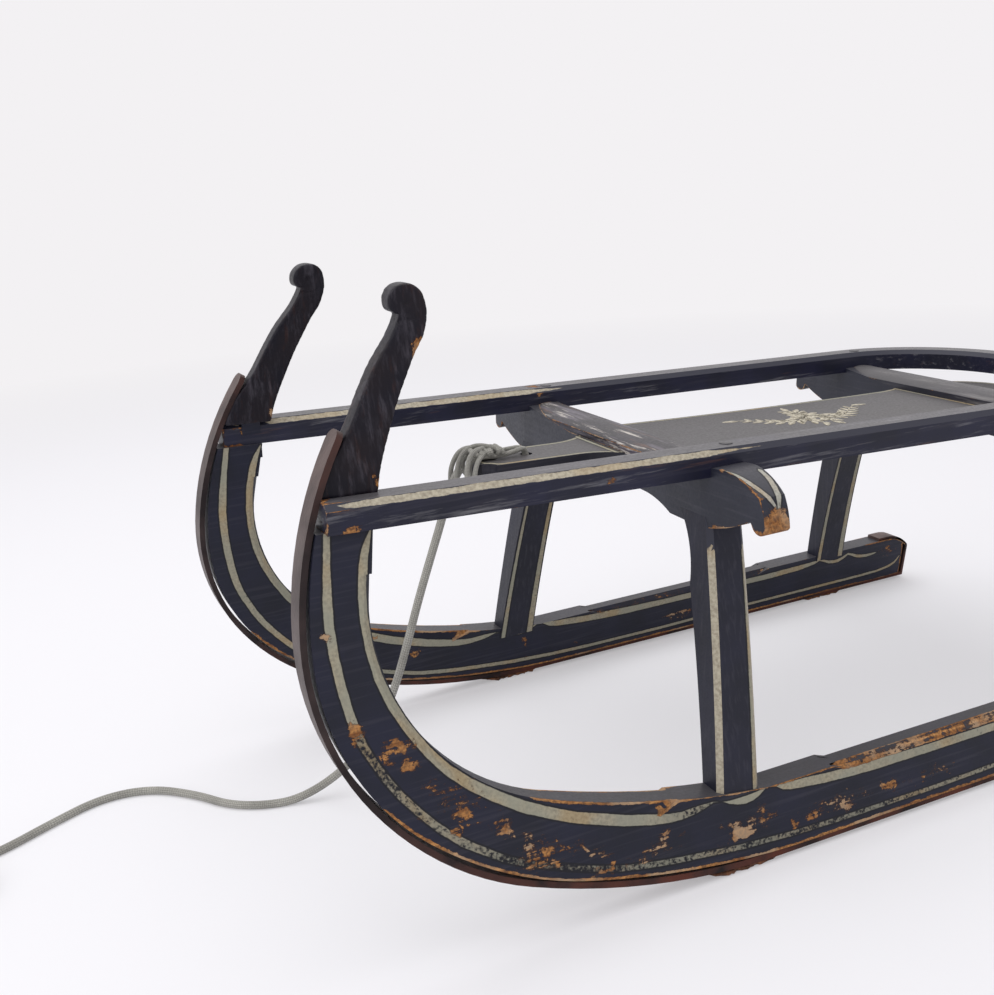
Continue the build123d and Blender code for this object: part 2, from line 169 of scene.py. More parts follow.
def keep_piece(shape, name, node, materials, bevel=0.0007):
    """Makes the piece of a finished bmesh, rounds its arrises a little and hides the CAD node that it replaces."""
    mesh = bpy.data.meshes.new(name)
    shape.to_mesh(mesh)
    shape.free()
    for polygon in mesh.polygons:
        polygon.use_smooth = True
    piece = put_object(name, mesh)
    for material in materials:
        mesh.materials.append(material)
    if bevel:
        rounding = piece.modifiers.new("worn_round_arrises", "BEVEL")
        rounding.width = bevel
        rounding.segments = 2
        rounding.limit_method = "ANGLE"
        rounding.angle_limit = math.radians(24)
        shading = piece.modifiers.new("flat_faces_stay_flat", "WEIGHTED_NORMAL")
        shading.keep_sharp = True
    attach(piece, "root")
    if node:
        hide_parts(node)
    return piece


def old_paint(name, body, shade, lines=(), rub=0.5, chips=0.0, dust_and_sheen=0.12, roughness=0.4, streak_axis=0,
              scuffs=(), creams=("#847b69", "#a69c85"), specular=0.5):
    """A coat of oil paint brushed on ash a lifetime ago: semi-gloss, hand-lined, chipped and rubbed to the wood."""
    coat, place = start_material(name)
    # Brush strokes run along the piece, about 2 mm apart
    stretch = [14 if axis == streak_axis else 420 for axis in range(3)]
    stroked = add(coat, "Mapping", {"Vector": place, "Scale": stretch})["Vector"]
    strokes = add(coat, "TexNoise", {"Vector": stroked, "Scale": 1, "Detail": 3})[0]
    # Clouding over about 40 mm, grit of about 2 mm, and flakes of about 6 mm
    cloud = add(coat, "TexNoise", {"Vector": place, "Scale": 26, "Detail": 3})[0]
    grit = add(coat, "TexNoise", {"Vector": place, "Scale": 520, "Detail": 3})[0]
    flakes = add(coat, "TexNoise", {
        "Vector": place, "Scale": 150, "Detail": 7, "Roughness": 0.68, "Distortion": 0.4})[0]
    shaded = add(coat, "MapRange", {0: cloud, 1: 0.35, 2: 0.65})[0]
    paint = add(coat, "Mix", {0: shaded, 6: body, 7: shade}, data_type="RGBA")[2]
    ridges = add(coat, "MapRange", {0: strokes, 1: 0.52, 2: 0.78, 3: 0, 4: 0.16})[0]
    paint = add(coat, "Mix", {0: ridges, 6: paint, 7: "#5d5a63"}, data_type="RGBA")[2]
    # Scuffs run along the piece, some 6 mm wide; each shows between two levels of its noise
    stretch = [11 if axis == streak_axis else 170 for axis in range(3)]
    for i, (least, most, tone, amount) in enumerate(scuffs):
        slid = add(coat, "Mapping", {
            "Vector": place, "Scale": stretch, "Location": (7.3 * i, 3.1 * i, 5.7 * i)})["Vector"]
        scuff = add(coat, "TexNoise", {"Vector": slid, "Scale": 1, "Detail": 7, "Roughness": 0.68})[0]
        scuff = add(coat, "MapRange", {0: scuff, 1: least, 2: most, 3: 0, 4: amount})[0]
        paint = add(coat, "Mix", {0: scuff, 6: paint, 7: tone}, data_type="RGBA")[2]
    # Dust lies on what faces up, and a painted sheen lightens it further
    up = add(coat, "SeparateXYZ", {0: add(coat, "NewGeometry")["Normal"]})["Z"]
    dust_and_sheen_on_top = add(coat, "MapRange", {0: up, 1: 0.55, 2: 0.95, 3: 0, 4: dust_and_sheen})[0]
    paint = add(coat, "Mix", {0: dust_and_sheen_on_top, 6: paint, 7: "#8b8783"}, data_type="RGBA")[2]
    rough = add(coat, "MapRange", {0: grit, 1: 0.3, 2: 0.7, 3: roughness - 0.05, 4: roughness + 0.1})[0]
    level = add(coat, "Math", {0: strokes, 1: 0.25}, operation="MULTIPLY")[0]
    # A line lies on flat sides, on a flat top, or over an end between its flat front and back
    true_way = add(coat, "SeparateXYZ", {0: add(coat, "NewGeometry")["True Normal"]})
    sideways = add(coat, "Math", {0: true_way["Y"]}, operation="ABSOLUTE")[0]
    endways = add(coat, "Math", {0: true_way["X"]}, operation="ABSOLUTE")[0]
    faces = {
        "side": add(coat, "MapRange", {0: sideways, 1: 0.5, 2: 0.55})[0],
        "top": add(coat, "MapRange", {0: true_way["Z"], 1: 0.9, 2: 0.92})[0],
        "end": add(coat, "MapRange", {0: endways, 1: 0.6, 2: 0.5})[0],
    }
    # Its edge wanders by a third of a millimetre, and its cream has greyed and yellowed in clouds
    wander = add(coat, "MapRange", {0: flakes, 1: 0.2, 2: 0.8, 3: -0.35, 4: 0.35})[0]
    flecks = add(coat, "Math", {0: flakes, 1: grit}, operation="ADD")[0]
    flecks = add(coat, "Math", {0: flecks, 1: 0.5}, operation="MULTIPLY")[0]
    tone = add(coat, "MapRange", {0: grit, 1: 0.32, 2: 0.62})[0]
    cream = add(coat, "Mix", {0: tone, 6: creams[0], 7: creams[1]}, data_type="RGBA")[2]
    greyed = add(coat, "MapRange", {0: cloud, 1: 0.38, 2: 0.6, 3: 0, 4: 0.75})[0]
    cream = add(coat, "Mix", {0: greyed, 6: cream, 7: "#8f9082"}, data_type="RGBA")[2]
    yellowed = add(coat, "MapRange", {0: cloud, 1: 0.46, 2: 0.36, 3: 0, 4: 0.5})[0]
    cream = add(coat, "Mix", {0: yellowed, 6: cream, 7: "#9c865f"}, data_type="RGBA")[2]
    for line in lines:
        face = faces[line.split("_")[0]]
        read = add(coat, "SeparateXYZ", {0: add(coat, "Attribute", attribute_name=line)["Vector"]})
        off = add(coat, "Math", {0: read["X"]}, operation="ABSOLUTE")[0]
        off = add(coat, "Math", {0: off, 1: wander}, operation="ADD")[0]
        off = add(coat, "Math", {0: off, 1: read["Y"]}, operation="SUBTRACT")[0]
        # The line is sharp within a third of a millimetre; a near-black band of painted shade runs alongside it
        inside = add(coat, "MapRange", {0: off, 1: -0.15, 2: 0.15, 3: 1, 4: 0})[0]
        inside = add(coat, "Math", {0: inside, 1: face}, operation="MULTIPLY")[0]
        painted_shade_beside = add(coat, "MapRange", {0: off, 1: 0.9, 2: 1.5, 3: 0.7, 4: 0})[0]
        painted_shade_beside = add(coat, "Math", {0: painted_shade_beside, 1: face}, operation="MULTIPLY")[0]
        # A worn line comes away in flecks, and what is left is a thin film that the navy shows through
        worn = add(coat, "MapRange", {0: read["Z"], 3: 0.26, 4: 0.62})[0]
        left = add(coat, "Math", {0: flecks, 1: worn}, operation="SUBTRACT")[0]
        left = add(coat, "MapRange", {0: left, 1: -0.06, 2: 0.05})[0]
        film = add(coat, "MapRange", {0: read["Z"], 1: 0.2, 2: 0.9, 3: 1, 4: 0.5})[0]
        left = add(coat, "Math", {0: left, 1: film}, operation="MULTIPLY")[0]
        inside = add(coat, "Math", {0: inside, 1: left}, operation="MULTIPLY")[0]
        paint = add(coat, "Mix", {0: painted_shade_beside, 6: paint, 7: "#0b0b0e"}, data_type="RGBA")[2]
        paint = add(coat, "Mix", {0: inside, 6: paint, 7: cream}, data_type="RGBA")[2]
        rough = add(coat, "Mix", {0: inside, 2: rough, 3: 0.6})[0]
    # Rubbed arrises and chips show the ash, orange where it has aged and pale where it is fresh
    edge = add(coat, "Attribute", attribute_name="arris")["Fac"]
    rubbed = add(coat, "Attribute", attribute_name="rub")["Fac"]
    finer = add(coat, "Mapping", {"Vector": stroked, "Scale": (1.4, 1.4, 1.4)})["Vector"]
    splinters = add(coat, "TexNoise", {"Vector": finer, "Scale": 0.8, "Detail": 5, "Roughness": 0.7})[0]
    torn = add(coat, "Mix", {0: 0.36, 2: flakes, 3: splinters})[0]
    near = add(coat, "Math", {0: edge, 1: -0.2, 2: torn}, operation="MULTIPLY_ADD")[0]
    near = add(coat, "Math", {0: rubbed, 1: rub, 2: near}, operation="MULTIPLY_ADD")[0]
    bare = add(coat, "MapRange", {0: near, 1: 0.68, 2: 0.76})[0]
    struck = add(coat, "Attribute", attribute_name="chip")["Fac"]
    hit = add(coat, "Math", {0: torn, 1: chips}, operation="ADD")[0]
    hit = add(coat, "Math", {0: struck, 1: 0.385, 2: hit}, operation="MULTIPLY_ADD")[0]
    hit = add(coat, "MapRange", {0: hit, 1: 0.7, 2: 0.76})[0]
    bare = add(coat, "Math", {0: bare, 1: hit}, operation="MAXIMUM")[0]
    grain = add(coat, "MapRange", {0: strokes, 1: 0.3, 2: 0.7})[0]
    wood = add(coat, "Mix", {0: grain, 6: "#75441f", 7: "#bd8850"}, data_type="RGBA")[2]
    mottle = add(coat, "MapRange", {0: grit, 1: 0.4, 2: 0.62, 3: 0, 4: 0.7})[0]
    wood = add(coat, "Mix", {0: mottle, 6: wood, 7: "#513829"}, data_type="RGBA")[2]
    pale = add(coat, "MapRange", {0: cloud, 1: 0.5, 2: 0.6, 3: 0, 4: 0.5})[0]
    wood = add(coat, "Mix", {0: pale, 6: wood, 7: "#b8a48a"}, data_type="RGBA")[2]
    # A dark rim of old varnish is left round each bare patch
    rim = add(coat, "Math", {0: bare, 1: 4, 2: -3}, operation="MULTIPLY_ADD", use_clamp=True)[0]
    wood = add(coat, "Mix", {0: rim, 6: "#3f2415", 7: wood}, data_type="RGBA")[2]
    colour = add(coat, "Mix", {0: bare, 6: paint, 7: wood}, data_type="RGBA")[2]
    rough = add(coat, "Mix", {0: bare, 2: rough, 3: 0.72})[0]
    level = add(coat, "Math", {0: bare, 1: -1, 2: level}, operation="MULTIPLY_ADD")[0]
    # Paint is about a fifth of a millimetre thick, drawn a little deeper so that it shows
    relief = add(coat, "Bump", {"Height": level, "Strength": 0.5, "Distance": 0.0004})[0]
    # Aged linseed paint is chalky, so it reflects less face on than fresh gloss
    fill(coat, "Principled BSDF", {
        "Base Color": colour, "Roughness": rough, "Normal": relief, "IOR": 1.36, "Specular IOR Level": specular})
    return coat


# Painted lines on a board's side, in millimetres: x, z, half width, and wear from 0 to 1
outer_line = [
    (339.5, 269, 1.9, 0.3), (342.9, 250, 2.1, 0.15), (345.8, 230, 2.8, 0.05), (347.1, 216.7, 2.8, 0.1),
    (347.1, 200, 2.7, 0.05), (346, 183, 2.7, 0.05), (343.9, 166.7, 2.7, 0.1), (341.5, 155, 2.5, 0.35),
    (338.4, 145, 2.4, 0.7), (334.6, 136.7, 2.2, 0.75), (329, 125, 2.3, 0.68), (322, 113.3, 2.3, 0.62),
    (312, 100, 2.2, 0.55), (300.6, 86.7, 2.2, 0.5), (288, 75, 2.3, 0.5), (276, 66.7, 2.2, 0.55),
    (264, 58.5, 2, 0.75), (250, 51.5, 1.8, 0.85), (230, 43.5, 1.8, 0.85), (210, 36.5, 1.8, 0.75),
    (190, 30.3, 1.8, 0.75), (170, 26.5, 1.8, 0.66), (150, 23.5, 1.8, 0.62), (130, 21.3, 1.7, 0.62),
    (100, 18, 1.7, 0.66), (60, 15.5, 1.6, 0.7), (20, 14.3, 1.5, 0.68), (-60, 13.8, 1.4, 0.6),
    (-160, 15.2, 1.3, 0.5), (-300, 15.5, 1.3, 0.45), (-322, 16, 1.3, 0.5), (-338, 18.3, 1.3, 0.5),
    (-346, 22, 1.2, 0.6), (-350, 28, 0.4, 0.7),
]
inner_line = [
    (313.5, 267, 0.2, 0.1), (318, 258, 2, 0.1), (321, 250, 2.5, 0.1), (324.6, 233, 2.8, 0.1),
    (325.9, 216.7, 2.9, 0.05), (325.6, 200, 2.8, 0.05), (323.3, 183, 2.9, 0.1), (318.5, 166.7, 2.9, 0.1),
    (311, 150, 2.8, 0.1), (301, 133.3, 2.8, 0.1), (291, 120, 2.9, 0.12), (279, 108.3, 3, 0.12),
    (265, 97.5, 3.1, 0.15), (246.7, 85.4, 3.2, 0.15), (230, 77, 3.3, 0.2), (213.3, 69.6, 3.4, 0.2),
    (196.7, 64, 3.5, 0.2), (180, 58.3, 3.4, 0.25), (161.4, 53.7, 3.2, 0.2), (150, 51.2, 2.8, 0.35),
    (140, 50.4, 2.4, 0.5), (126, 51.4, 1.9, 0.6), (116, 52.6, 0.2, 0.6), (111, 51.6, -0.5, 0.3),
    (106, 49.6, 0.6, 0.2), (100, 48.2, 1.8, 0.15), (93, 47.4, 2.4, 0.15), (85, 47.8, 2.2, 0.2),
    (79, 49.6, 1.1, 0.2), (74.5, 51.3, 0, 0.3), (71, 51.8, -0.6, 0.3), (67.5, 50.4, 0.4, 0.2),
    (62, 48.6, 2.1, 0.15), (54, 47, 2.7, 0.15), (40, 46, 3.1, 0.2), (25.7, 44.6, 3.1, 0.2),
    (4.3, 43.5, 3.2, 0.2), (-17, 42.7, 3.3, 0.25), (-38.6, 42.4, 3, 0.25), (-60, 42, 2.8, 0.25),
    (-120, 42, 2.7, 0.2), (-180, 41.6, 2.8, 0.25), (-220, 42.6, 2.6, 0.25), (-238, 44.2, 1.6, 0.3),
    (-246, 46.4, 0.2, 0.3), (-252, 42.4, 1.3, 0.25), (-259, 40.2, 1.6, 0.25), (-268, 39.9, 1.6, 0.25),
    (-276, 42.8, 1.4, 0.25), (-281.5, 46.2, 0.5, 0.3), (-287, 42, 1.3, 0.35), (-294, 39.3, 1.6, 0.4),
    (-303, 38, 1.5, 0.45), (-312, 38, 1.2, 0.55), (-319, 38.8, 0.3, 0.7),
]
# Chips on the left board's outer side: x, z, reach along, reach up, strength
stone_chips = [
    (341.5, 155.5, 3.6, 13, 1.55), (323, 143, 9, 5, 1.15), (316, 138.5, 6, 5, 1.05), (309, 141, 5, 5, 0.85),
    (314, 128.5, 9, 4, 1.15), (327, 136, 5, 6, 0.8), (351, 213, 2.6, 3, 1.2), (345, 211.5, 4, 1.2, 0.9),
    (274, 94, 2.6, 2, 1), (285, 93.2, 7.5, 4, 1.25), (275, 88, 6, 2, 0.9), (263, 77, 9, 6, 1.05),
    (247, 64, 7, 9, 0.9), (215, 52.5, 9, 4.5, 1.1), (203, 44, 16, 8, 0.6), (229, 46, 9, 5, 0.85),
    (302, 112, 12, 9, 0.6), (317, 110, 2, 2, 0.8), (289, 78.5, 4.5, 2.6, 1.2), (312, 99, 3.5, 3, 0.9),
    (173, 40, 9, 2.2, 1.1), (153, 46, 9, 2.2, 1.1), (97, 26, 13, 3.6, 1.2), (108, 36, 3.6, 6, 1.1),
    (78, 40, 3.2, 6, 1.15), (82, 35.5, 2.6, 2.4, 1), (91, 35, 2.6, 2.4, 1), (47, 30, 6, 2, 1.2),
    (27, 30, 4, 2, 1.1), (26, 23.4, 5, 2.2, 1.15), (34, 23.4, 6, 1.8, 1), (45, 23, 5, 2, 1),
    (72, 30, 4, 2, 1.05), (57, 21, 3, 2.4, 1), (42, 18.5, 9, 2.2, 1.05), (11.5, 21, 4.4, 7, 1.2),
    (-3, 24, 3, 2.2, 1), (-3, 18, 3, 2.2, 1), (-10, 29, 5, 2.6, 1), (-24, 27, 9, 2.6, 1.05),
    (-27, 22.5, 10, 3, 1.1), (-44, 22.5, 24, 2.6, 1.2), (125, 28, 4.4, 2.4, 1), (109, 18, 9, 3, 1.05),
    (160, 34, 34, 9, 0.7), (90, 31, 40, 10, 0.68), (20, 26, 44, 9, 0.7), (240, 55, 28, 17, 0.7),
    (-60, 24, 44, 7, 0.7), (285, 98, 26, 20, 0.64), (200, 33, 24, 7, 0.7),
    (-90, 24, 14, 3, 0.5), (-150, 22, 18, 3, 0.45), (-230, 26, 14, 4, 0.4), (-330, 34, 16, 14, 0.42),
]
# The other faces carry a few of the same chips and a bare heel, all drawn 23 mm further back
few_chips = stone_chips[8::5] + [
    (-308, 37, 20, 12, 0.62), (-229, 33, 2, 5, 1.1), (-270, 30, 26, 8, 0.42), (-300, 46, 12, 3, 0.6)]


def round_heel(shape):
    """Rubs down the heel's top, which drags when the sled is stood on end: 13 mm at 26 mm past x = -332."""
    above = max(v.co.z for v in shape.verts if v.co.x < -0.3)
    for v in shape.verts:
        if v.co.x < -0.332:
            v.co.z = min(v.co.z, above - 0.013 * ((-0.332 - v.co.x) / 0.026) ** 2)


navy_paint = old_paint("navy_oil_paint_lined", "#191b2e", "#131523", lines=("side_outer", "side_inner"),
                       rub=0.42, chips=-0.02, dust_and_sheen=0.2)
for side, sign in (("left", 1), ("right", -1)):
    board = merged_copy("runner_" + side)
    slice_across(board, 0, 0.006)
    slice_across(board, 2, 0.006)
    round_heel(board)
    mark_arrises(board)
    flat = np.array([(v.co.x * 1000, v.co.z * 1000) for v in board.verts])
    for label, rows in (("side_outer", outer_line), ("side_inner", inner_line)):
        field = line_field(flat, rows)
        if side == "right":
            # The right board's lines are much less worn
            field[:, 2] *= 0.4
        layer = board.verts.layers.float_vector.new(label)
        for v, value in zip(board.verts, field):
            v[layer] = value
    chip, rub = new_layers(board, "chip", "rub")
    for v, (x, z) in zip(board.verts, flat):
        # Boards lean in by 0.2 mm a millimetre, and the left one's outer face has met the most stones
        outer_face = v.co.y * sign * 1000 > 183.5 - 0.2005 * (z - 3)
        struck = outer_face and side == "left"
        back = 0 if struck else 23
        v[chip] = max(k * math.exp(-((x - cx + back) / rx) ** 2 - ((z - cz) / rz) ** 2)
                      for cx, cz, rx, rz, k in (stone_chips if struck else few_chips))
        # The arrises are rubbed most along the bottom, then at the heel, on the deck and inside the bend
        outward = math.hypot(x - 150, z - 205) > 172 if x > 150 else z < 24
        if x < -300:
            v[rub] = 0.9
        elif outward and z < 110:
            v[rub] = 1.35
        elif z > 44 and x < 130:
            v[rub] = 0.75 if struck else 0.45
        elif not outward and 130 <= x < 290 and z < 130:
            v[rub] = 1.1 if x < 240 else 0.3
        else:
            v[rub] = 0.15
    keep_piece(board, "runner_board_" + side, "runner_" + side, [navy_paint])

# Iron shoes: a wrought strap sprung round the bend, nailed below and hooked over the heel
# Dark brown patina at the sides, rust brown near the floor; the face that slides is ground grey, its pale tint partly
# painted sheen
iron, place = start_material("wrought_iron_patina")
cloud = add(iron, "TexNoise", {"Vector": place, "Scale": 38, "Detail": 4})[0]
pits = add(iron, "TexNoise", {"Vector": place, "Scale": 420, "Detail": 4})[0]
patchy = add(iron, "MapRange", {0: cloud, 1: 0.35, 2: 0.65})[0]
tint = add(iron, "Mix", {0: patchy, 6: "#221a1b", 7: "#3d3130"}, data_type="RGBA")[2]
parts = add(iron, "SeparateXYZ", {0: place})
low = add(iron, "MapRange", {0: parts["Z"], 1: 0.11, 2: 0.03})[0]
top_end = add(iron, "MapRange", {0: parts["Z"], 1: 0.262, 2: 0.3, 3: 0, 4: 0.4})[0]
low = add(iron, "Math", {0: low, 1: top_end}, operation="MAXIMUM")[0]
rusty = add(iron, "Math", {0: low, 1: patchy}, operation="MULTIPLY")[0]
tint = add(iron, "Mix", {0: rusty, 6: tint, 7: "#5e3226"}, data_type="RGBA")[2]
# The faces that don't look sideways are ground grey, and their lighter tint is partly painted sheen
facing = add(iron, "SeparateXYZ", {0: add(iron, "NewGeometry")["Normal"]})
aside = add(iron, "Math", {0: facing["Y"]}, operation="ABSOLUTE")[0]
ground = add(iron, "MapRange", {0: aside, 1: 0.35, 2: 0.75, 3: 1, 4: 0})[0]
ground_and_sheen = add(iron, "Math", {0: ground, 1: cloud}, operation="MULTIPLY")[0]
tint = add(iron, "Mix", {0: ground_and_sheen, 6: tint, 7: "#6d605d"}, data_type="RGBA")[2]
shine = add(iron, "MapRange", {0: ground_and_sheen, 3: 0.62, 4: 0.42})[0]
relief = add(iron, "Bump", {"Height": pits, "Strength": 0.5, "Distance": 0.0005})[0]
fill(iron, "Principled BSDF", {"Base Color": tint, "Roughness": shine, "Normal": relief, "Metallic": 0.55})
for side in ("left", "right"):
    strap = merged_copy("iron_shoe_" + side)
    slice_across(strap, 0, 0.006)
    round_heel(strap)
    keep_piece(strap, "shoe_strap_" + side, "iron_shoe_" + side, [iron], bevel=0.0006)

# Sole plates: torn remains of thin iron plates nailed under the shoes below each leg
# Rough rust all over, with ends eaten away to a ragged taper
rust, place = start_material("flaking_rust")
scales = add(rust, "TexNoise", {"Vector": place, "Scale": 160, "Detail": 6})[0]
tone = add(rust, "MapRange", {0: scales, 1: 0.35, 2: 0.65})[0]
tint = add(rust, "Mix", {0: tone, 6: "#3b2218", 7: "#8a5a3c"}, data_type="RGBA")[2]
relief = add(rust, "Bump", {"Height": scales, "Strength": 0.8, "Distance": 0.001})[0]
fill(rust, "Principled BSDF", {"Base Color": tint, "Normal": relief, "Roughness": 0.85})
for end in ("front", "rear"):
    for side in ("left", "right"):
        low_corner, high_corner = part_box("sole_pad_" + end + "_" + side)
        size = high_corner - low_corner
        middle = (high_corner + low_corner) / 2
        plate = bmesh.new()
        bmesh.ops.create_grid(plate, x_segments=30, y_segments=8, size=0.5)
        for v in plate.verts:
            along = v.co.x
            ragged = 0.16 * math.sin(31 * along + 5 * middle.y) + 0.1 * math.sin(73 * along + 9 * middle.x)
            end_taper = min(1, (0.5 - abs(along)) * 5 + 0.25)
            v.co.y = v.co.y * (0.86 + ragged * 0.5) * end_taper
            v.co.x = along + 0.02 * math.sin(40 * v.co.y * 3 + along)
        bmesh.ops.recalc_face_normals(plate, faces=plate.faces)
        bmesh.ops.scale(plate, vec=(size.x * 0.97, size.y, 1), verts=plate.verts)
        skin = bmesh.ops.extrude_face_region(plate, geom=plate.faces[:])
        for v in [v for v in skin["geom"] if isinstance(v, bmesh.types.BMVert)]:
            share = min(1, (0.5 - abs(v.co.x / size.x)) * 4 + 0.12)
            v.co.z = -size.z * 0.9 * share * (0.85 + 0.15 * math.sin(900 * v.co.x + 700 * v.co.y))
        bmesh.ops.translate(plate, vec=(middle.x, middle.y, high_corner.z), verts=plate.verts)
        bmesh.ops.recalc_face_normals(plate, faces=plate.faces)
        keep_piece(plate, "sole_plate_" + end + "_" + side, "sole_pad_" + end + "_" + side,
                   [rust], bevel=0)

# Legs: splayed boards tenoned into the runners and flared under the bolsters
# Painted as the runners are; cream fills the outer bevels, and lines both edges inside and the back edge outside
lining, place = start_material("cream_lining_paint")
grit = add(lining, "TexNoise", {"Vector": place, "Scale": 480, "Detail": 4})[0]
flakes = add(lining, "TexNoise", {"Vector": place, "Scale": 90, "Detail": 7, "Roughness": 0.65})[0]
tone = add(lining, "MapRange", {0: grit, 1: 0.3, 2: 0.65})[0]
tint = add(lining, "Mix", {0: tone, 6: "#8a8171", 7: "#b2aa96"}, data_type="RGBA")[2]
cloud = add(lining, "TexNoise", {"Vector": place, "Scale": 24, "Detail": 3})[0]
yellowed = add(lining, "MapRange", {0: cloud, 1: 0.48, 2: 0.38, 3: 0, 4: 0.3})[0]
tint = add(lining, "Mix", {0: yellowed, 6: tint, 7: "#a2875a"}, data_type="RGBA")[2]
# The lining is laid between the arrises and narrows where it fades out
fade = add(lining, "Attribute", attribute_name="fade")["Fac"]
edge = add(lining, "Attribute", attribute_name="arris")["Fac"]
laid = add(lining, "Math", {0: edge, 1: fade}, operation="SUBTRACT")[0]
laid = add(lining, "Math", {0: flakes, 1: 3, 2: laid}, operation="MULTIPLY_ADD")[0]
gone = add(lining, "MapRange", {0: laid, 1: 1.25, 2: 1.6, 3: 1, 4: 0})[0]
tint = add(lining, "Mix", {0: gone, 6: tint, 7: "#1d1e2e"}, data_type="RGBA")[2]
bared = add(lining, "MapRange", {0: flakes, 1: 0.7, 2: 0.74})[0]
tint = add(lining, "Mix", {0: bared, 6: tint, 7: "#8a6238"}, data_type="RGBA")[2]
relief = add(lining, "Bump", {"Height": gone, "Strength": 0.4, "Distance": 0.0003})[0]
fill(lining, "Principled BSDF", {"Base Color": tint, "Normal": relief, "Roughness": 0.58})
leg_paint = old_paint("navy_oil_paint_legs", "#1d1e2e", "#161723", lines=("side_front", "side_back"), rub=0.25,
                      chips=-0.05, streak_axis=2)
for end, foot_back, top_back in (("front", 0, 0), ("rear", -351, -327.5)):
    # Both lines run from the runner's deck at 45.5 mm up to the bolster at 229 mm
    edges = {
        "side_front": [(108.4 + foot_back, 45.5, 1.9, 0.1), (84.4 + top_back, 229, 0.6, 0.3)],
        "side_back": [(82.2 + foot_back, 45.5, 2.6, 0.2), (62.9 + top_back, 229, 0.9, 0.3)],
    }
    for side, sign in (("left", 1), ("right", -1)):
        leg = merged_copy("leg_" + end + "_" + side)
        slice_across(leg, 2, 0.006)
        mark_arrises(leg)
        flat = np.array([(v.co.x * 1000, v.co.z * 1000) for v in leg.verts])
        for label, rows in edges.items():
            layer = leg.verts.layers.float_vector.new(label)
            for v, value in zip(leg.verts, line_field(flat, rows)):
                # Outside, only the back edge is lined, up to the bolster; a negative half width hides a line
                outer_side = v.co.y * sign * 1000 > 181.5 - 0.2 * (v.co.z * 1000)
                hidden = outer_side and (label == "side_front" or v.co.z > 0.209)
                v[layer] = (value[0], value[1] - (30 if hidden else 0), value[2])
        # The cream in the bevels fades out under the bolster and towards the foot
        fade, rub = new_layers(leg, "fade", "rub")
        for v in leg.verts:
            v[fade] = -1.6 + max(0, v.co.z - 0.203) * 300 + max(0, 0.11 - v.co.z) * 22
            v[rub] = 0.25
        for f in leg.faces:
            if abs(f.normal.x) > 0.35 and f.normal.y * sign > 0.3 and abs(f.normal.z) < 0.6:
                f.material_index = 1
        keep_piece(leg, "leg_board_" + end + "_" + side, "leg_" + end + "_" + side,
                   [leg_paint, lining], bevel=0.0008)

# Bolsters: sawn cross pieces, arched below, whose ends curl down in scrolls outside the rail
# Two cream strokes meet in a V on each scroll, and the front left one is worn to the wood
scroll_paint = old_paint("navy_oil_paint_bolsters", "#292b37", "#20222d", lines=("end_front", "end_back"),
                         rub=0.3, chips=-0.05, streak_axis=1, dust_and_sheen=0.1, creams=("#8f8c86", "#b3b0a8"))
rail_tilt = math.radians(-2.46)


def rail_height(x):
    """The height of the rail's underside at x, in millimetres; it climbs forward by 43 mm a metre."""
    return 257.2 + (x - 69.9) * 0.043


for end, shift in (("front", 0), ("rear", -327.5)):
    beam = merged_copy("bolster_" + end)
    slice_across(beam, 1, 0.008)
    slice_across(beam, 0, 0.0045)
    slice_across(beam, 2, 0.006)
    mark_arrises(beam)
    # Round a scroll, the way down its back is y less z, from the lip to the tip
    lip = rail_height(60.4 + shift)
    unrolled = np.array([(abs(v.co.y) * 1000 - v.co.z * 1000 + lip, v.co.x * 1000 - shift) for v in beam.verts])
    strokes = {
        "end_front": [(150, 86.2, 0.6, 0.1), (160, 85.2, 1.5, 0.1), (180, 81.5, 1.7, 0.1), (195, 77.5, 1.6, 0.1),
                      (207, 73.6, 0.5, 0.2)],
        "end_back": [(160, 66.5, 1.3, 0.1), (175, 67.6, 1.6, 0.1), (195, 70.4, 1.8, 0.1), (208, 73.0, 0.8, 0.2)],
    }
    for label, rows in strokes.items():
        layer = beam.verts.layers.float_vector.new(label)
        for v, value in zip(beam.verts, line_field(unrolled, rows)):
            on_scroll = abs(v.co.y) > 0.15
            v[layer] = (value[0], value[1] - (0 if on_scroll else 30), value[2])
    chip, rub = new_layers(beam, "chip", "rub")
    for v, (down, x) in zip(beam.verts, unrolled):
        out = abs(v.co.y) * 1000
        # The front left scroll is bare along its back's front arris and over the tip; its front face is whole
        worn = max(1.1 * math.exp(-((down - 188) / 24) ** 2 - ((x - 88) / 5) ** 2),
                   1.35 * math.exp(-((down - 224) / 21) ** 2 - ((x - 77) / 17) ** 2),
                   0.9 * math.exp(-((down - 147) / 5) ** 2 - ((x - 87) / 4) ** 2))
        flat_face = v.normal.x * math.copysign(1, x - 74) > 0.9
        v[chip] = 1.2 * worn if out > 136 and not flat_face and v.co.y > 0 and end == "front" else 0
        v[rub] = 1.0 if down > 150 and x > 80 and out > 140 else 0.2
    keep_piece(beam, "bolster_beam_" + end, "bolster_" + end, [scroll_paint], bevel=0.0012)

# Seat rail: one ash bow steamed round behind the seat, pegged down on bolsters and stems
# Bevelled on top, the bevels filled with cream; hands and coats have rubbed the top grey, and painted sheen lightens
# it
rail_paint = old_paint("navy_oil_paint_rubbed_rail", "#1c1d33", "#161726", rub=0.3, chips=-0.02, dust_and_sheen=0.3,
                       roughness=0.36, scuffs=((0.55, 0.72, "#8d8c90", 0.55), (0.62, 0.74, "#6a4a3c", 0.4)))
bow = merged_copy("seat_rail")
slice_across(bow, 0, 0.012)
slice_across(bow, 1, 0.012)
mark_arrises(bow)
fade, rub, chip = new_layers(bow, "fade", "rub", "chip")
